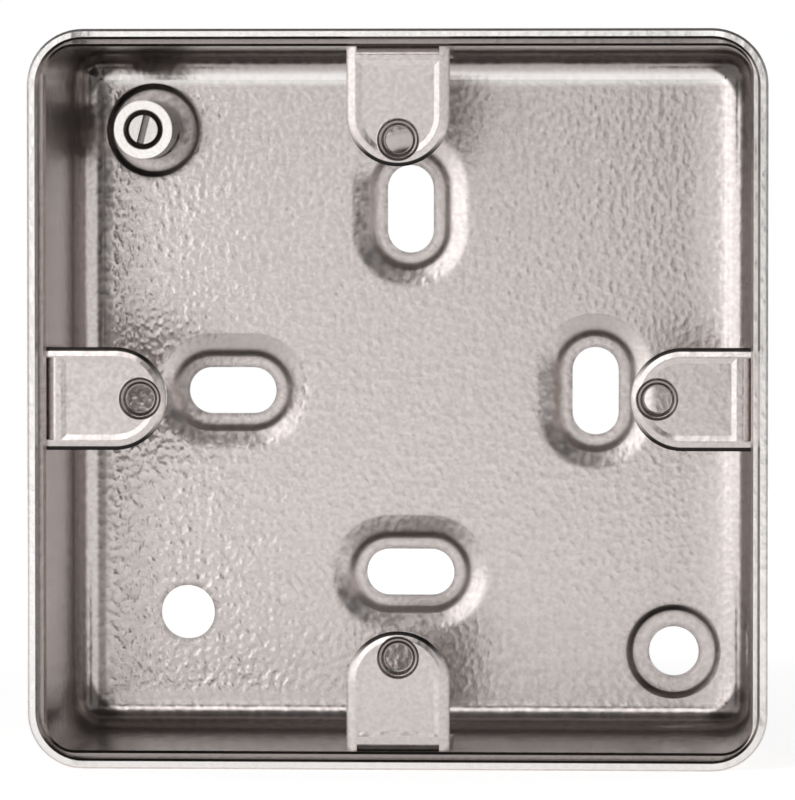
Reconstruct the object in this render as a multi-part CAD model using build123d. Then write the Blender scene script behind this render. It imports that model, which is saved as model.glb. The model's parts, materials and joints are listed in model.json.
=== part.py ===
from build123d import *
import os
from math import atan2, cos, degrees, radians, sin, tan

# A surface mount back box: a box drawn from one steel sheet, with four fixing lugs welded inside its
# walls and an earth pillar riveted into its base.
# +X is right and +Z is up as the open front is seen, and +Y goes into the wall. The origin is the centre
# of the wall plane, where the pressed pads of the base bear. A height is measured from that plane towards
# the open front, along -Y. All sizes are in millimetres and degrees.

# Box
box_side = 86.0  # outside, across the rim
box_depth = 38.0  # from the wall plane to the rim
sheet = 1.2
corner_radius = 6.5  # outside, at the rim
wall_radius = 3.4  # inside, from wall to wall and from the walls to the base
lip_depth = 1.6  # from the rim to the ledge
ledge = 0.8  # how far the walls are set in below the lip
edge_break = 0.3  # on the rim, the ledge and the lip's back edge
edge_fall = 0.5  # how far it goes down inside the rim and the ledge

# Dimples pressed through the base towards the wall
pad_height = 1.0  # how far a pad stands proud of the base at the back

# Slots for the wall screws, each in an oval dimple
slot_length = 10.6
slot_width = 5.6
slot_offset = 22.0  # from the centre of the box to the middle of a slot
slot_shift = 0.4  # how far left of the middle the top and bottom slots are
slot_land = 1.3  # flat bottom left round a slot
slot_tilt = 38.0  # of an oval dimple's side to the base, at its foot
slot_mouth_tilt = 9.5  # of the easier stretch above that
slot_mouth_rise = 0.33

# Two round dimples in opposite corners: one for the earth pillar, one with an open hole
corner_inset = 9.5  # from the inside of a wall to a round dimple's centre
round_bottom = 9.9
round_tilt = 53.0  # of a round dimple's side to the base
corner_hole = 6.0

# A plain hole through the base
plain_hole = 6.5
plain_hole_across = 13.6  # from the inside of the left wall to its centre
plain_hole_up = 14.1  # from the inside of the bottom wall to its centre

# Fixing lugs
lug_pitch = 60.3  # between opposite screw holes
lug_drop = 3.0  # from the rim to a lug's front face
lug_sheet = 1.2
lug_width = 12.0
lug_leg = 10.0  # along the wall
lug_bend = 0.3  # inside the bend
lug_shoulder = 1.0  # outside the bend, between the ribs
lug_tip = 3.1  # from the hole's centre to the tip
lug_flank = 1.0  # the raised rib along the plate's edge falls away outwards over this width
lug_crown = 0.25  # and by this much
lug_bore = 3.1  # tapped hole
lug_mouth = 0.9  # countersink where the plate is drawn into the plunged collar
lug_collar = 1.4  # the collar's reach behind the plate
lug_collar_wall = 0.9
dish_depth = 0.15  # the lug's middle is pressed in a little, which leaves the rib
dish_inset = 1.2  # from the lug's edge to the dish
dish_root = 1.65  # from the wall to the dish
dish_slope = 0.6

# Earth pillar and its clamp screw
pillar_diameter = 7.0
pillar_top = 14.0  # above the base
spigot_gap = 0.05  # between the spigot and the hole it is riveted in
spigot_flare = 0.4
wire_hole = 4.6
wire_hole_height = 5.0  # above the base
wire_hole_angle = -45.0  # points to the middle of the box
screw_diameter = 3.5
screw_gap = 0.05  # between the screw and the pillar's tapped bore
screw_sink = 0.3  # from the pillar's top to the screw's
screw_lift = 0.3  # from the wire hole to the screw's tip
screw_mouth = 0.6  # countersink round the screw
screw_slot_width = 0.8
screw_slot_depth = 1.1
screw_slot_angle = 76.0

# Heights and half widths that follow
base_back = pad_height
floor = base_back + sheet
dimple_floor = sheet
ledge_height = box_depth - lip_depth
lip_back = ledge_height - sheet
wall_half = box_side / 2 - ledge - sheet
corner_at = wall_half - corner_inset
plain_hole_at = (plain_hole_across - wall_half, plain_hole_up - wall_half)
slot_side_rise = pad_height - slot_mouth_rise
lug_front = box_depth - lug_drop
lug_hole_at = lug_pitch / 2
lug_tip_at = lug_hole_at - lug_tip
lug_end = lug_width / 2
pillar_height = floor + pillar_top
wire_height = floor + wire_hole_height
past = 1.0  # how far a cut runs past a face
press_lap = 0.4  # how far a dimple's sides run on, into the rounding beside the base

FOOT = (Align.CENTER, Align.CENTER, Align.MIN)
terminal_place = Plane.XZ * Pos(-corner_at, corner_at)


def at_height(height):
    """The plane across the box at a height, facing the open front."""
    return Plane.XZ.offset(height)


def block(side, radius, low, high):
    """A square block with rounded corners between two heights."""
    return extrude(at_height(low) * RectangleRounded(side, side, radius), high - low)


def tub(side, radius, low, high):
    """A block with rounded corners and lower edges, like the outside or the inside of a drawn box."""
    solid = extrude(at_height(low) * Rectangle(side, side), high - low)
    return fillet(solid.edges().filter_by(Axis.Y) + solid.edges().group_by(Axis.Y)[-1], radius)


def flare(side, radius, height):
    """The widening that breaks the edge of a square opening at a height."""
    outline = at_height(height - edge_fall) * RectangleRounded(side, side, radius)
    return extrude(outline, edge_fall, taper=-degrees(atan2(edge_break, edge_fall)))


def drawn_box():
    """The plain box: walls, base and the stepped lip."""
    mouth_side = box_side - 2 * sheet
    mouth_radius = corner_radius - sheet
    lip = block(box_side, corner_radius, lip_back, box_depth)
    lip_edges = lip.edges().group_by(Axis.Y)
    outside = chamfer(lip_edges[0] + lip_edges[-1], edge_break)
    outside += tub(2 * (wall_half + sheet), wall_radius + sheet, base_back, lip_back)
    inside = block(mouth_side, mouth_radius, ledge_height, box_depth)
    inside += flare(mouth_side, mouth_radius, box_depth)
    inside += tub(2 * wall_half, wall_radius, floor, ledge_height)
    inside += flare(2 * wall_half, wall_radius, ledge_height)
    return outside - inside


def press(solid, centre, bottom, sides):
    """Press a dimple with a given flat bottom through the base, keeping the sheet's thickness.

    The sides go outwards from the bottom, each with its rise and its tilt to the base.
    """

    def stack(points):
        cones = []
        for (reach, low), (next_reach, high) in zip(points, points[1:]):
            sketch = at_height(low) * Pos(*centre) * (offset(bottom, reach) if reach else bottom)
            cones.append(extrude(sketch, high - low, taper=-degrees(atan2(next_reach - reach, high - low))))
        return cones

    inner = [(0, dimple_floor)]
    for rise, tilt in sides:
        reach, height = inner[-1]
        inner.append((reach + rise / tan(radians(tilt)), height + rise))
    outer = []
    tilts = [0, *(tilt for _, tilt in sides), 0]
    for (reach, height), tilt, next_tilt in zip(inner, tilts, tilts[1:]):
        lean = radians(tilt + next_tilt) / 2
        thick = sheet / cos(radians(next_tilt - tilt) / 2)
        outer.append((reach + thick * sin(lean), height - thick * cos(lean)))
    run_on = press_lap / tan(radians(sides[-1][1]))
    for points in (inner, outer):
        reach, height = points.pop()
        points.append((reach + run_on, height + press_lap))
    return solid + stack(outer) - stack(inner)


def through(centre, outline):
    """A cut right through the base."""
    return extrude(at_height(-past) * Pos(*centre) * outline, floor + 2 * past)


def box_shell():
    """The pressed box with its dimples, slots and holes."""
    solid = drawn_box()
    slots = {
        (-slot_shift, slot_offset): 90,
        (slot_offset, 0): 90,
        (-slot_shift, -slot_offset): 0,
        (-slot_offset, 0): 0,
    }
    slot_sides = [(slot_side_rise, slot_tilt), (slot_mouth_rise, slot_mouth_tilt)]
    corners = [(-corner_at, corner_at), (corner_at, -corner_at)]
    for centre, turn in slots.items():
        slot = SlotOverall(slot_length, slot_width, rotation=turn)
        solid = press(solid, centre, offset(slot, slot_land), slot_sides)
        solid -= through(centre, slot)
    for centre in corners:
        solid = press(solid, centre, Circle(round_bottom / 2), [(pad_height, round_tilt)])
        solid -= through(centre, Circle(corner_hole / 2))
    solid -= through(plain_hole_at, Circle(plain_hole / 2))
    countersink = Cone(corner_hole / 2 + spigot_flare, corner_hole / 2, spigot_flare, align=FOOT)
    return solid - terminal_place * countersink


def lug_hole():
    """The cut of a screw hole: a bore with a countersunk mouth, its face at zero."""
    bore = lug_bore / 2
    depth = lug_sheet + lug_collar + past
    cut = Pos(0, 0, -depth) * Cylinder(bore, depth, align=FOOT)
    cut += Pos(0, 0, -lug_mouth) * Cone(bore, bore + lug_mouth, lug_mouth, align=FOOT)
    return cut + Cylinder(bore + lug_mouth, past, align=FOOT)


def top_lug():
    """An L-shaped bracket with a round end, a shallow dish and a plunged screw hole."""
    length = wall_half - lug_tip_at
    profile = Pos(-lug_front + lug_sheet / 2, wall_half - length / 2) * Rectangle(lug_sheet, length)
    profile += Pos(-lug_front + lug_leg / 2, wall_half - lug_sheet / 2) * Rectangle(lug_leg, lug_sheet)
    inner = profile.vertices().sort_by_distance((-lug_front + lug_sheet, wall_half - lug_sheet, 0))[0]
    square = fillet(inner, lug_bend)
    outer = square.vertices().sort_by_distance((-lug_front, wall_half, 0))[0]
    solid = extrude(Plane.YZ * fillet(outer, lug_shoulder), lug_end, both=True)
    for rib_at in (-lug_end, lug_end - dish_inset):
        solid += extrude(Plane.YZ.offset(rib_at) * square, dish_inset)

    run = length - lug_end + 2 * past
    outline = Pos(0, lug_tip_at + lug_end) * Circle(lug_end)
    outline += Pos(0, lug_tip_at + lug_end + run / 2) * Rectangle(lug_width, run)
    rib_low = lug_front - lug_crown
    trim = extrude(at_height(lug_front - lug_leg) * outline, lug_leg - lug_crown)
    flank_angle = degrees(atan2(lug_flank, lug_crown))
    trim += extrude(at_height(rib_low) * outline, lug_crown, taper=flank_angle)
    solid &= trim

    dish_end = lug_end - dish_inset - dish_slope
    dish_top = wall_half - dish_root - dish_slope
    dish_low = lug_tip_at + lug_end
    dish = Pos(0, dish_low) * Circle(dish_end)
    dish += Pos(0, (dish_low + dish_top) / 2) * Rectangle(2 * dish_end, dish_top - dish_low)
    dish_angle = degrees(atan2(dish_slope, dish_depth))
    solid -= extrude(at_height(lug_front - dish_depth) * dish, dish_depth, taper=-dish_angle)

    hole = at_height(lug_front - dish_depth) * Pos(0, lug_hole_at)
    collar_low = dish_depth - lug_sheet - lug_collar
    solid += hole * Pos(0, 0, collar_low) * Cylinder(lug_bore / 2 + lug_collar_wall, lug_collar, align=FOOT)
    return solid - hole * lug_hole()


def earth_terminal():
    """The pillar on its axis, with a spigot, a cross hole for the wire and a bore for the screw."""
    spigot = corner_hole / 2 - spigot_gap
    bore = screw_diameter / 2 + screw_gap
    pillar = Cylinder(pillar_diameter / 2, pillar_height - dimple_floor, align=FOOT)
    pillar = Pos(0, 0, dimple_floor) * pillar
    pillar += Cylinder(spigot, dimple_floor, align=FOOT)
    pillar += Cone(spigot + spigot_flare, spigot, spigot_flare, align=FOOT)
    across = Pos(0, 0, wire_height) * Rot(0, 0, wire_hole_angle) * Rot(0, 90, 0)
    pillar -= across * Cylinder(wire_hole / 2, 2 * pillar_diameter)
    pillar -= Pos(0, 0, wire_height) * Cylinder(bore, pillar_height - wire_height, align=FOOT)
    mouth = Cone(bore, bore + screw_mouth, screw_mouth, align=FOOT)
    return pillar - Pos(0, 0, pillar_height - screw_mouth) * mouth


def earth_screw():
    """The slotted clamp screw on the pillar's axis."""
    low = wire_height + wire_hole / 2 + screw_lift
    high = pillar_height - screw_sink
    screw = Pos(0, 0, low) * Cylinder(screw_diameter / 2, high - low, align=FOOT)
    slot = Pos(0, 0, high - screw_slot_depth) * Rot(0, 0, screw_slot_angle)
    return screw - slot * Box(2 * screw_diameter, screw_slot_width, 2 * screw_slot_depth, align=FOOT)


lug = top_lug()
nodes = {
    "box_shell": box_shell(),
    "lug_top": lug,
    "lug_right": Rot(0, 90, 0) * lug,
    "lug_bottom": Rot(0, 180, 0) * lug,
    "lug_left": Rot(0, 270, 0) * lug,
    "earth_terminal": terminal_place * earth_terminal(),
    "earth_screw": terminal_place * earth_screw(),
}

os.makedirs("parts", exist_ok=True)
for name, solid in nodes.items():
    solid.label = name
    export_step(solid, f"parts/{name}.step")
    print(name, round(solid.volume, 2), solid.is_valid)
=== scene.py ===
import json
from math import cos, pi, radians, sin, tan

import bpy
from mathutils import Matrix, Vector


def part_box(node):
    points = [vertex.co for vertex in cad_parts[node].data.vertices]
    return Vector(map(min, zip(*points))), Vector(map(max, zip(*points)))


# A surface mount back box in stippled aluminium-grey paint, seen from the front of its open side.
# +X is right, +Z is up and +Y goes into the wall behind the box. All lengths are in metres.

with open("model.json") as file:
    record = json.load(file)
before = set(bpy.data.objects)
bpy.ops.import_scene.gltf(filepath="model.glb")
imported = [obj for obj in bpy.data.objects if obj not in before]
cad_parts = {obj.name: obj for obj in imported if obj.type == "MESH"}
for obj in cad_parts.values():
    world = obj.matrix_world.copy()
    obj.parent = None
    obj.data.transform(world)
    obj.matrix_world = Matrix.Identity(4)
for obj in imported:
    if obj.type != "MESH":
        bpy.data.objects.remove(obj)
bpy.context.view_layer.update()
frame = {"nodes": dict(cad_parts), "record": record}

MM = 0.001

# Places from the frame
MOUNTS = {mount["name"]: mount for mount in frame["record"]["mounts"]}
SHELL_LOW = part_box("box_shell")[0]
RIM_Y = SHELL_LOW.y
FLOOR_Z = SHELL_LOW.z
LUG_LOW, LUG_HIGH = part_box("lug_right")
LUG_Y = LUG_LOW.y
LUG_HALF = LUG_HIGH.z
LUG_HOLE_AT = MOUNTS["side_lug_screws"]["dims"]["spacing_x_mm"] / 2 * MM
INNER_SIDES = LUG_HIGH.x  # the lugs lie against the inside of the walls
PILLAR_LOW, PILLAR_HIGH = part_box("earth_terminal")
PILLAR_AXIS = (PILLAR_LOW + PILLAR_HIGH) / 2

# Camera, measured from the photograph: the rim is 86 mm wide and shows at 8.65 pixels to the millimetre
IMAGE_HEIGHT = 800
FOCAL_PIXELS = 6920
SENSOR = 36.0  # in millimetres, as the lens is
CAMERA_DISTANCE = 0.8  # from the rim
CAMERA_RIGHT = 0.0464
CAMERA_UP = 0.0252
CAMERA_CLIP = 0.01
AIM_RIGHT = 0.00013

# Colours
WHITE = (1, 1, 1, 1)
FLOOR_COLOUR = (0.8, 0.8, 0.8, 1)
PAINT_COLOUR = (0.63, 0.58, 0.56, 1)
FLAKE_COLOUR = (0.57, 0.515, 0.495, 1)
# Painted highlights, and the rim's bare cut edge
BARE_AND_HIGHLIGHT_COLOUR = (0.84, 0.815, 0.795, 1)
SHADE_COLOUR = (0.36, 0.32, 0.305, 1)
# Painted shade on the ledge
LEDGE_SHADE_COLOUR = (0.33, 0.295, 0.28, 1)
# Painted shade along the base's left bend
FOLD_SHADE_COLOUR = (0.22, 0.195, 0.185, 1)
# Painted shade in the base's corners
CORNER_SHADE_COLOUR = (0.12, 0.105, 0.1, 1)
# Painted shade in crevices
CREVICE_SHADE_COLOUR = (0.10, 0.085, 0.08, 1)
# Painted shade in dark lines and bands
SHADE_LINE_COLOUR = (0.02, 0.017, 0.016, 1)
# Painted shade in the lugs' tapped holes
HOLE_SHADE_COLOUR = (0.3, 0.27, 0.26, 1)
PLATED_COLOUR = (0.86, 0.82, 0.79, 1)
# Painted shade on the pillar's side
PILLAR_SIDE_SHADE_COLOUR = (0.22, 0.2, 0.19, 1)

# Paint
PAINT_METALLIC = 0.85
PAINT_ROUGHNESS = 0.21
ROUGHNESS_SPREAD = 0.04
PAINT_EDGE_SAMPLES = 2
FLAKE_SIZE = 0.5 * MM
FLAKE_DETAIL = 2.0
FLAKE_EDGE = (0.35, 0.65)  # of the flakes' noise
# Painted shade in crevices, found by ambient occlusion
CREVICE_REACH = 0.9 * MM
CREVICE_OPEN = (0.2, 0.55)
CREVICE_SAMPLES = 2

# Stipple
STIPPLE_SIZE = 0.75 * MM
STIPPLE_DETAIL = 0.6
STIPPLE_STRETCH = 0.8  # along Z, where less than one draws the grain out
STIPPLE_MEAN = 0.5
STIPPLE_GLOSS = (0.3, 0.7)  # from the dull hollows to the smooth tops
FLOOR_STIPPLE = 0.08 * MM
WALL_STIPPLE = 0.025 * MM
LUG_STIPPLE = 0.02 * MM
STIPPLE_LEFT = 1.3  # shares of the depth on the base
STIPPLE_MIDDLE = 0.36
STIPPLE_RIGHT = 0.2
LEFT_TO_MIDDLE = (-37 * MM, -16 * MM)
MIDDLE_TO_RIGHT = (-8 * MM, 14 * MM)
STIPPLE_SKEW = 0.4  # how far the strong stipple spreads to the right on the way down

# The way a surface looks: the parts of its normal between which a zone starts and ends
FRONT_Y = (-0.9, -0.5)
BACK_Y = (0.0, 0.3)
# Painted shade on steep dimple sides that don't look left, on faces that look up or down and on slopes that
# hang
STEEP_Y = (-0.76, -0.62)
LEFT_X = (-0.5, 0.0)
LEVEL_Z = (0.2, 0.7)  # up or down
HANGING_Z = (-0.18, -0.06)
UPWARD_Z = (0.5, 0.9)
HANGING_SHARE = 0.6
STEEP_SHARE = 0.75

# The base
WALL_RADIUS = 3.4 * MM
BEND_AT = INNER_SIDES - WALL_RADIUS  # where the base starts to turn up into the walls
BASE_Y = -2.2 * MM  # the flat of the base, inside
BASE_BLUR = 0.1 * MM
BASE_HALF = 37.2 * MM
BASE_FADE = 1.5 * MM
BASE_LOW = (BASE_Y - 3.0 * MM, BASE_Y - 1.5 * MM)
BASE_FOOT = (BASE_Y - 1.7 * MM, BASE_Y - 0.4 * MM)
BASE_EDGE_RADIUS = 0.9 * MM
# A painted highlight along the bend at the top of the base, and painted shade along the bend on its left
TOP_BEND = (BEND_AT - 0.6 * MM, BEND_AT + 0.9 * MM)
TOP_BEND_BLUR = 0.4 * MM
TOP_BEND_HIGHLIGHT_SHARE = 0.8
LEFT_FOLD = (-BEND_AT - 0.7 * MM, -BEND_AT + 0.2 * MM)
LEFT_FOLD_BLUR = 0.3 * MM
LEFT_FOLD_SHARE = 0.8
# Painted shade in the base's corners, which also draws them round
CORNER_START = 34.3 * MM
CORNER_ROUND = 4.5 * MM
CORNER_BLUR = 0.6 * MM
CORNER_FADE = 2.4 * MM
DISH_WIDTH = 5.6 * MM  # the base curves up a little over this width, as far as the bend
DISH_START = BEND_AT - DISH_WIDTH
DISH_FADE = 0.5 * MM
DISH_RISE_LEFT = 0.31 * MM
DISH_RISE_RIGHT = 0.25 * MM
DISH_RISE_UP = 0.1 * MM

# The walls and the rim
LEDGE_Y = RIM_Y + 1.6 * MM
LEDGE_HALF = 0.05 * MM
LEDGE_RIGHT_HIGHLIGHT = (INNER_SIDES - 2.0 * MM, INNER_SIDES)  # painted highlight on the ledge's right part
BREAK_START = 0.06 * MM  # painted shade on the break along the rim and the ledge, from its edge down
BREAK_END = 0.48 * MM
LINE_BLUR = 0.03 * MM
LINE_SHARE = 0.9
# The rim's front is partly the bare cut edge, partly a painted highlight
RIM_BRIGHT_DEPTHS = (RIM_Y + 0.03 * MM, RIM_Y + 0.12 * MM)
EDGE_RADIUS = 0.05 * MM
OUTER_SIDES = (38.5 * MM, 39.5 * MM)
OUTWARD = (0.0, 2.0 * MM)  # how far out a surface lies along its own normal
# Painted shade on the faces inside that look up, strongest near the rim
UPWARD_SHADE_DEPTHS = (RIM_Y + 2.0 * MM, RIM_Y + 16.0 * MM)
UPWARD_SHADE_SHARES = (0.3, 0.1)

# The lugs
LUG_TIP = 3.1 * MM  # from the hole's centre
LUG_END_AT = LUG_HOLE_AT - LUG_TIP + LUG_HALF  # the middle of a lug's round end
# Painted shade in and round the tapped hole
LUG_RING = 2.4 * MM
LUG_RING_BLUR = 0.15 * MM
LUG_EDGE_RADIUS = 0.12 * MM
LUG_OUTLINE = 0.6 * MM
LUG_OUTLINE_RADIUS = 0.6 * MM
# Painted shade along the cut edges that look up or down
LUG_CUT = 0.4 * MM
LUG_CUT_BLUR = 0.1 * MM
LUG_CUT_LEAN = (0.3, 0.8)
LUG_FRONT = (LUG_Y + 0.5 * MM, LUG_Y + 0.8 * MM)
THREAD_PITCH = 0.5 * MM
THREAD_DEPTH = 0.06 * MM

# Plating
PLATED_ROUGHNESS = 0.25
PLATED_GRAIN = 0.4 * MM
PLATED_GRAIN_DETAIL = 3.0
PLATED_GRAIN_DEPTH = 0.015 * MM
PLATED_EDGE_RADIUS = 0.15 * MM
PLATED_EDGE_SAMPLES = 4
# Painted shade round the screw and on the pillar's side below its top
SCREW_RING = (1.72 * MM, 2.3 * MM)
SCREW_RING_BLUR = 0.08 * MM
PILLAR_SIDE_SHADE_Y = (PILLAR_LOW.y + 0.15 * MM, PILLAR_LOW.y + 0.6 * MM)

# Light
PANEL_REACH = 1.0
AMBIENT = 0.3
ROOM = 0.05
ROOM_TILT = 0.3
ROOM_EDGE = (-0.15, 0.2)
FLOOR_GLOW = (0.65, 0.85)  # near the box and far from it
FLOOR_FADE = (0.1, 0.35)
FLOOR_RADIUS = 0.7
FLOOR_SIDES = 96

# The colour sockets of a mix node
MIX_FACTOR = 0
MIX_FIRST = 6
MIX_SECOND = 7
MIX_RESULT = 2


class Graph:
    """A node tree with short calls to add nodes and links."""

    def __init__(self, tree):
        self.tree = tree
        tree.nodes.clear()

    def node(self, kind, inputs=None, **settings):
        node = self.tree.nodes.new(kind)
        for name, value in settings.items():
            setattr(node, name, value)
        for key, value in (inputs or {}).items():
            if isinstance(value, bpy.types.NodeSocket):
                self.tree.links.new(value, node.inputs[key])
            else:
                node.inputs[key].default_value = value
        return node

    def math(self, operation, *values):
        return self.node("ShaderNodeMath", dict(enumerate(values)), operation=operation).outputs[0]

    def product(self, first, *others):
        for other in others:
            first = self.math("MULTIPLY", first, other)
        return first

    def split(self, vector):
        """The X, Y and Z parts of a vector."""
        return self.node("ShaderNodeSeparateXYZ", {"Vector": vector}).outputs

    def ramp(self, value, low, high, first=0.0, last=1.0):
        """First below low, last above high, smooth between."""
        inputs = {"Value": value, "From Min": low, "From Max": high, "To Min": first, "To Max": last}
        return self.node("ShaderNodeMapRange", inputs, interpolation_type="SMOOTHSTEP").outputs[0]

    def fall(self, value, low, high):
        """1 below low, 0 above high, smooth between."""
        return self.ramp(value, low, high, 1.0, 0.0)

    def clamp(self, value):
        return self.math("MINIMUM", self.math("MAXIMUM", value, 0.0), 1.0)

    def band(self, value, low, high, blur):
        """1 between low and high, 0 outside."""
        rise = self.ramp(value, low - blur, low + blur)
        return self.product(rise, self.fall(value, high - blur, high + blur))

    def length(self, first, second):
        """The length of a vector with two parts at right angles."""
        squares = self.math("ADD", self.product(first, first), self.product(second, second))
        return self.math("SQRT", squares)

    def mix(self, share, first, second):
        """The first colour at a share of 0, the second at 1."""
        inputs = {MIX_FACTOR: share, MIX_FIRST: first, MIX_SECOND: second}
        return self.node("ShaderNodeMix", inputs, data_type="RGBA").outputs[MIX_RESULT]

    def noise(self, place, size, detail):
        inputs = {"Vector": place, "Scale": 1 / size, "Detail": detail}
        return self.node("ShaderNodeTexNoise", inputs).outputs[0]

    def object_place(self):
        return self.node("ShaderNodeTexCoord").outputs["Object"]

    def open_share(self):
        """1 in the open, falling to 0 in a crevice of the same piece, where shade is painted."""
        reach = {"Distance": CREVICE_REACH}
        opening = self.node("ShaderNodeAmbientOcclusion", reach, samples=CREVICE_SAMPLES, only_local=True)
        return self.ramp(opening.outputs["AO"], *CREVICE_OPEN)

    def soft_edge(self, radius, samples):
        """The normal, rounded off along the edges."""
        return self.node("ShaderNodeBevel", {"Radius": radius}, samples=samples).outputs[0]

    def finish(self, shader):
        self.node("ShaderNodeOutputMaterial", {"Surface": shader.outputs[0]})


class Zones:
    """Where a point of the box lies and which way its surface looks. A zone is 1 inside and 0 outside."""

    def __init__(self, graph, place):
        normal = graph.node("ShaderNodeNewGeometry").outputs["Normal"]
        self.normal_x, self.normal_y, self.normal_z = graph.split(normal)
        self.across, self.depth, self.up = graph.split(place)
        self.aside = graph.math("ABSOLUTE", self.across)
        self.above = graph.math("ABSOLUTE", self.up)
        reach = graph.math("MAXIMUM", self.aside, self.above)
        out_x = graph.product(self.across, self.normal_x)
        out_z = graph.product(self.up, self.normal_z)
        outward = graph.ramp(graph.math("ADD", out_x, out_z), *OUTWARD)
        outside = graph.product(outward, graph.ramp(reach, *OUTER_SIDES))
        level = graph.ramp(graph.math("ABSOLUTE", self.normal_z), *LEVEL_Z)
        self.inside = graph.product(graph.math("SUBTRACT", 1.0, outside), graph.fall(self.normal_y, *BACK_Y))
        self.front = graph.fall(self.normal_y, *FRONT_Y)
        self.level = graph.product(level, self.inside)
        self.flat = graph.fall(reach, BASE_HALF - BASE_FADE, BASE_HALF)
        self.low = graph.ramp(self.depth, *BASE_LOW)


def new_material(name):
    material = bpy.data.materials.new(name)
    material.use_nodes = True
    return material, Graph(material.node_tree)


def paint_coat(graph, place):
    """The noise of the paint's stipple, and its flaked colour."""
    stretch = {"Vector": place, "Scale": (1, 1, STIPPLE_STRETCH)}
    drawn = graph.node("ShaderNodeMapping", stretch).outputs[0]
    stipple = graph.noise(drawn, STIPPLE_SIZE, STIPPLE_DETAIL)
    flakes = graph.ramp(graph.noise(place, FLAKE_SIZE, FLAKE_DETAIL), *FLAKE_EDGE)
    return stipple, graph.mix(flakes, PAINT_COLOUR, FLAKE_COLOUR)


def paint_shader(graph, stipple, stipple_depth, relief, colour, edge_radius):
    """Stippled metallic paint over a relief, with soft edges and painted shade in crevices."""
    grain = graph.product(graph.math("SUBTRACT", stipple, STIPPLE_MEAN), stipple_depth)
    height = graph.math("ADD", grain, relief)
    edge = graph.soft_edge(edge_radius, PAINT_EDGE_SAMPLES)
    bump = graph.node("ShaderNodeBump", {"Height": height, "Distance": 1.0, "Normal": edge})
    rough = PAINT_ROUGHNESS + ROUGHNESS_SPREAD
    smooth = PAINT_ROUGHNESS - ROUGHNESS_SPREAD
    graph.finish(graph.node("ShaderNodeBsdfPrincipled", {
        "Base Color": graph.mix(graph.open_share(), CREVICE_SHADE_COLOUR, colour),
        "Metallic": PAINT_METALLIC,
        "Roughness": graph.ramp(stipple, *STIPPLE_GLOSS, rough, smooth),
        "Normal": bump.outputs[0],
    }))


def shell_stipple(graph, zones):
    """The stipple's depth: strong on the left of the base, weaker to the right, faint on the walls."""
    near_base = graph.band(zones.depth, BASE_Y - BASE_BLUR, BASE_Y + BASE_BLUR, BASE_BLUR)
    skew = graph.product(graph.math("MINIMUM", zones.up, 0.0), STIPPLE_SKEW)
    from_left = graph.math("ADD", zones.across, skew)
    left_share = graph.ramp(from_left, *LEFT_TO_MIDDLE, STIPPLE_LEFT, STIPPLE_MIDDLE)
    right_loss = graph.ramp(zones.across, *MIDDLE_TO_RIGHT, 0.0, STIPPLE_MIDDLE - STIPPLE_RIGHT)
    share = graph.math("SUBTRACT", left_share, right_loss)
    on_base = graph.product(near_base, zones.flat, zones.front, share, FLOOR_STIPPLE)
    return graph.math("ADD", on_base, WALL_STIPPLE)


def edge_rise(graph, distance, rise):
    """The base's height against its edge, as it curves up towards it, at a distance from the middle."""
    past = graph.math("SUBTRACT", distance, DISH_START)
    share = graph.clamp(graph.math("DIVIDE", past, DISH_WIDTH))
    curve = graph.math("SUBTRACT", graph.product(share, share, share), 1.0)
    # The curve's slope at the bend, 3 / DISH_WIDTH, runs out over the fade
    left = graph.math("SUBTRACT", BEND_AT + DISH_FADE, distance)
    fade = graph.clamp(graph.math("DIVIDE", left, DISH_FADE))
    end = graph.product(fade, fade, 3 / DISH_WIDTH * DISH_FADE / 2)
    return graph.product(graph.math("SUBTRACT", curve, end), rise)


def base_relief(graph, zones):
    """The slight curve of the base towards its four edges."""
    rise_across = graph.ramp(zones.across, -DISH_START, DISH_START, DISH_RISE_LEFT, DISH_RISE_RIGHT)
    to_sides = edge_rise(graph, zones.aside, rise_across)
    to_ends = edge_rise(graph, zones.above, DISH_RISE_UP)
    return graph.product(graph.math("ADD", to_sides, to_ends), zones.front)


def painted_shade_layers(graph, zones):
    """Painted shade on faces inside that look up or down, more on upward faces, and on steep dimple sides.
    """
    hanging = graph.product(graph.fall(zones.normal_z, *HANGING_Z), zones.flat, zones.front, HANGING_SHARE)
    upward_shade_share = graph.ramp(zones.depth, *UPWARD_SHADE_DEPTHS, *UPWARD_SHADE_SHARES)
    upward_shade = graph.product(graph.ramp(zones.normal_z, *UPWARD_Z), upward_shade_share, zones.inside)
    steep = graph.ramp(zones.normal_y, *STEEP_Y)
    not_left = graph.ramp(zones.normal_x, *LEFT_X)
    return [
        (graph.math("MAXIMUM", zones.level, hanging), SHADE_COLOUR),
        (upward_shade, SHADE_LINE_COLOUR),
        (graph.product(steep, not_left, zones.flat, zones.inside, STEEP_SHARE), SHADE_LINE_COLOUR),
    ]


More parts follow.
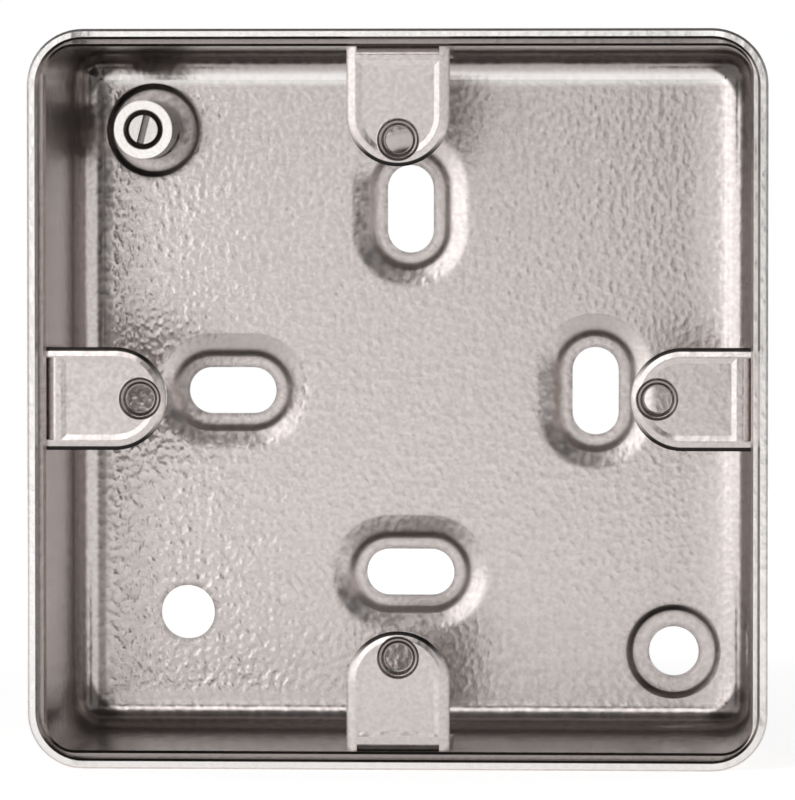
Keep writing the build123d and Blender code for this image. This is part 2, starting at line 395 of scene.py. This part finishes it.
def base_layers(graph, zones):
    """Painted highlight on the top bend, painted shade along the left bend and in the round corners."""
    bend = graph.band(zones.up, *TOP_BEND, TOP_BEND_BLUR)
    fold_shade = graph.band(zones.across, *LEFT_FOLD, LEFT_FOLD_BLUR)
    past_side = graph.math("MAXIMUM", graph.math("SUBTRACT", zones.aside, CORNER_START), 0.0)
    past_end = graph.math("MAXIMUM", graph.math("SUBTRACT", zones.above, CORNER_START), 0.0)
    rounded = graph.ramp(graph.length(past_side, past_end), CORNER_ROUND, CORNER_ROUND + CORNER_BLUR)
    in_corner = graph.ramp(graph.math("MINIMUM", past_side, past_end), 0.0, CORNER_FADE)
    foot = graph.ramp(zones.depth, *BASE_FOOT)
    return [
        (graph.product(bend, zones.front, TOP_BEND_HIGHLIGHT_SHARE), BARE_AND_HIGHLIGHT_COLOUR),
        (graph.product(fold_shade, zones.low, zones.inside, LEFT_FOLD_SHARE), FOLD_SHADE_COLOUR),
        (graph.product(rounded, in_corner, foot, zones.inside), CORNER_SHADE_COLOUR),
    ]


def rim_layers(graph, zones):
    """Painted shade on and below the ledge and below the rim; painted highlights on the right ledge and rim.
    """
    ledge = graph.band(zones.depth, LEDGE_Y - LEDGE_HALF, LEDGE_Y + LEDGE_HALF, LINE_BLUR)
    ledge_shade_and_highlight = graph.mix(graph.ramp(zones.across, *LEDGE_RIGHT_HIGHLIGHT), LEDGE_SHADE_COLOUR, BARE_AND_HIGHLIGHT_COLOUR)
    below_rim = graph.band(zones.depth, RIM_Y + BREAK_START, RIM_Y + BREAK_END, LINE_BLUR)
    below_ledge = graph.band(zones.depth, LEDGE_Y + BREAK_START, LEDGE_Y + BREAK_END, LINE_BLUR)
    return [
        (graph.product(ledge, zones.front), ledge_shade_and_highlight),
        (graph.product(graph.math("ADD", below_rim, below_ledge), zones.level, LINE_SHARE), SHADE_LINE_COLOUR),
        (graph.fall(zones.depth, *RIM_BRIGHT_DEPTHS), BARE_AND_HIGHLIGHT_COLOUR),
    ]


def shell_paint():
    """The box's paint, with painted shade and painted highlights laid over it one after another."""
    material, graph = new_material("painted_steel")
    place = graph.object_place()
    zones = Zones(graph, place)
    stipple, colour = paint_coat(graph, place)
    for layers in (painted_shade_layers, base_layers, rim_layers):
        for share, layer_colour in layers(graph, zones):
            colour = graph.mix(share, colour, layer_colour)
    wider = graph.product(zones.low, zones.flat, BASE_EDGE_RADIUS - EDGE_RADIUS)
    edge_radius = graph.math("ADD", wider, EDGE_RADIUS)
    relief = base_relief(graph, zones)
    paint_shader(graph, stipple, shell_stipple(graph, zones), relief, colour, edge_radius)
    return material


def lug_paint():
    """The lugs' paint, with painted shade in the tapped hole and along the cut edges. It serves all four
    lugs.
    """
    material, graph = new_material("painted_steel_lug")
    place = graph.object_place()
    across, depth, up = graph.split(place)
    across = graph.math("ABSOLUTE", across)
    up = graph.math("ABSOLUTE", up)
    along = graph.math("MAXIMUM", across, up)
    aside = graph.math("MINIMUM", across, up)
    from_hole = graph.length(graph.math("SUBTRACT", along, LUG_HOLE_AT), aside)
    past_end = graph.math("MINIMUM", graph.math("SUBTRACT", along, LUG_END_AT), 0.0)
    from_middle = graph.length(past_end, aside)

    # Painted shade on cut edges that look up or down: the upright lugs' round ends, the others' sides
    upright = graph.math("GREATER_THAN", up, across)
    endwise = graph.product(graph.math("ABSOLUTE", past_end), upright)
    sidewise = graph.product(aside, graph.math("SUBTRACT", 1.0, upright))
    lean = graph.math("DIVIDE", graph.math("ADD", endwise, sidewise), LUG_HALF)
    by_cut = graph.ramp(from_middle, LUG_HALF - LUG_CUT - LUG_CUT_BLUR, LUG_HALF - LUG_CUT)
    cut = graph.product(by_cut, graph.fall(depth, *LUG_FRONT), graph.ramp(lean, *LUG_CUT_LEAN))

    in_hole = graph.fall(from_hole, LUG_RING, LUG_RING + LUG_RING_BLUR)
    turn = graph.math("SINE", graph.product(depth, 2 * pi / THREAD_PITCH))
    thread = graph.product(turn, in_hole, THREAD_DEPTH)
    by_edge = graph.ramp(from_middle, LUG_HALF - LUG_OUTLINE, LUG_HALF - LUG_OUTLINE / 2)
    wider = graph.product(by_edge, LUG_OUTLINE_RADIUS - LUG_EDGE_RADIUS)
    edge_radius = graph.math("ADD", wider, LUG_EDGE_RADIUS)

    stipple, colour = paint_coat(graph, place)
    colour = graph.mix(in_hole, colour, HOLE_SHADE_COLOUR)
    colour = graph.mix(cut, colour, SHADE_LINE_COLOUR)
    paint_shader(graph, stipple, LUG_STIPPLE, thread, colour, edge_radius)
    return material


def plated_metal():
    """Bright plating, fine grain, painted shade round the screw and on the pillar's side below its top."""
    material, graph = new_material("plated_metal")
    place = graph.object_place()
    across, depth, up = graph.split(place)
    from_axis_x = graph.math("SUBTRACT", across, PILLAR_AXIS.x)
    from_axis_z = graph.math("SUBTRACT", up, PILLAR_AXIS.z)
    ring = graph.band(graph.length(from_axis_x, from_axis_z), *SCREW_RING, SCREW_RING_BLUR)
    grain = graph.noise(place, PLATED_GRAIN, PLATED_GRAIN_DETAIL)
    edge = graph.soft_edge(PLATED_EDGE_RADIUS, PLATED_EDGE_SAMPLES)
    bump = graph.node("ShaderNodeBump", {"Height": grain, "Distance": PLATED_GRAIN_DEPTH, "Normal": edge})
    colour = graph.mix(graph.open_share(), CREVICE_SHADE_COLOUR, PLATED_COLOUR)
    colour = graph.mix(ring, colour, CREVICE_SHADE_COLOUR)
    graph.finish(graph.node("ShaderNodeBsdfPrincipled", {
        "Base Color": graph.mix(graph.ramp(depth, *PILLAR_SIDE_SHADE_Y), colour, PILLAR_SIDE_SHADE_COLOUR),
        "Metallic": 1.0,
        "Roughness": PLATED_ROUGHNESS,
        "Normal": bump.outputs[0],
    }))
    return material


def add_floor():
    """A pale floor under the box that shows white where it is lit and keeps the box's shadow."""
    material, graph = new_material("pale_floor")
    path = graph.node("ShaderNodeLightPath").outputs
    mirrored = graph.math("MAXIMUM", path["Is Glossy Ray"], path["Is Transmission Ray"])
    seen = graph.math("MAXIMUM", path["Is Camera Ray"], mirrored)
    across, along, _ = graph.split(graph.object_place())
    glow = graph.ramp(graph.length(across, along), *FLOOR_FADE, *FLOOR_GLOW)
    white = graph.node("ShaderNodeEmission", {"Color": WHITE, "Strength": graph.product(seen, glow)})
    diffuse = graph.node("ShaderNodeBsdfDiffuse", {"Color": FLOOR_COLOUR})
    graph.finish(graph.node("ShaderNodeAddShader", {0: diffuse.outputs[0], 1: white.outputs[0]}))
    bpy.ops.mesh.primitive_circle_add(
        vertices=FLOOR_SIDES, radius=FLOOR_RADIUS, fill_type="NGON", location=(0, 0, FLOOR_Z))
    floor = bpy.context.object
    floor.name = "floor"
    floor.data.materials.append(material)


def set_world():
    """White to the eye. In reflections it is white behind the box and a dim room in front of it."""
    world = bpy.data.worlds.new("studio")
    bpy.context.scene.world = world
    world.use_nodes = True
    graph = Graph(world.node_tree)
    path = graph.node("ShaderNodeLightPath").outputs
    _, ahead, up = graph.split(graph.node("ShaderNodeTexCoord").outputs["Generated"])
    lowered = graph.math("SUBTRACT", ahead, graph.product(up, up, ROOM_TILT))
    reflected = graph.ramp(lowered, *ROOM_EDGE, ROOM, 1.0)
    change = graph.product(path["Is Glossy Ray"], graph.math("SUBTRACT", reflected, AMBIENT))
    strength = graph.math("ADD", change, AMBIENT)
    seen = graph.math("MAXIMUM", path["Is Camera Ray"], path["Is Transmission Ray"])
    strength = graph.math("MAXIMUM", strength, seen)
    back = graph.node("ShaderNodeBackground", {"Color": WHITE, "Strength": strength})
    graph.node("ShaderNodeOutputWorld", {"Surface": back.outputs[0]})


def add_panel(name, turn, climb, wide, high, radiance):
    """A soft light panel that faces the box from a turn to the right and a climb. Angles are in degrees."""
    width = 2 * PANEL_REACH * tan(radians(wide / 2))
    height = 2 * PANEL_REACH * tan(radians(high / 2))
    light = bpy.data.lights.new(name, "AREA")
    light.shape = "RECTANGLE"
    light.size = width
    light.size_y = height
    light.energy = radiance * pi * width * height
    panel = bpy.data.objects.new(name, light)
    level = cos(radians(climb))
    direction = Vector((level * sin(radians(turn)), -level * cos(radians(turn)), sin(radians(climb))))
    panel.location = PANEL_REACH * direction
    panel.rotation_euler = direction.to_track_quat("Z", "Y").to_euler()
    panel.visible_camera = False
    bpy.context.scene.collection.objects.link(panel)


def add_camera():
    data = bpy.data.cameras.new("camera")
    data.sensor_fit = "VERTICAL"
    data.sensor_height = SENSOR
    data.lens = SENSOR * FOCAL_PIXELS / IMAGE_HEIGHT
    data.clip_start = CAMERA_CLIP
    camera = bpy.data.objects.new("camera", data)
    camera.location = (CAMERA_RIGHT, RIM_Y - CAMERA_DISTANCE, CAMERA_UP)
    aim = Vector((AIM_RIGHT, RIM_Y, 0)) - camera.location
    camera.rotation_euler = aim.to_track_quat("-Z", "Y").to_euler()
    bpy.context.scene.collection.objects.link(camera)
    bpy.context.scene.camera = camera


on_shell = shell_paint()
on_lugs = lug_paint()
on_terminal = plated_metal()
for name, node in frame["nodes"].items():
    if name == "box_shell":
        material = on_shell
    elif name.startswith("lug"):
        material = on_lugs
    else:
        material = on_terminal
    node.material_slots[0].material = material

add_floor()
set_world()
add_panel("front_panel", turn=-3, climb=-1, wide=12, high=10, radiance=0.89)
add_panel("high_panel", turn=-3, climb=7.5, wide=12, high=7, radiance=1.45)
add_panel("upper_panel", turn=-4, climb=28, wide=24, high=13, radiance=2.1)
add_panel("near_left_panel", turn=-19.5, climb=0, wide=17, high=56, radiance=2.1)
add_panel("far_left_panel", turn=-50, climb=0, wide=44, high=66, radiance=1.7)
add_panel("right_panel", turn=44.5, climb=0, wide=51, high=66, radiance=0.95)
add_camera()
bpy.context.scene.view_settings.view_transform = "Standard"
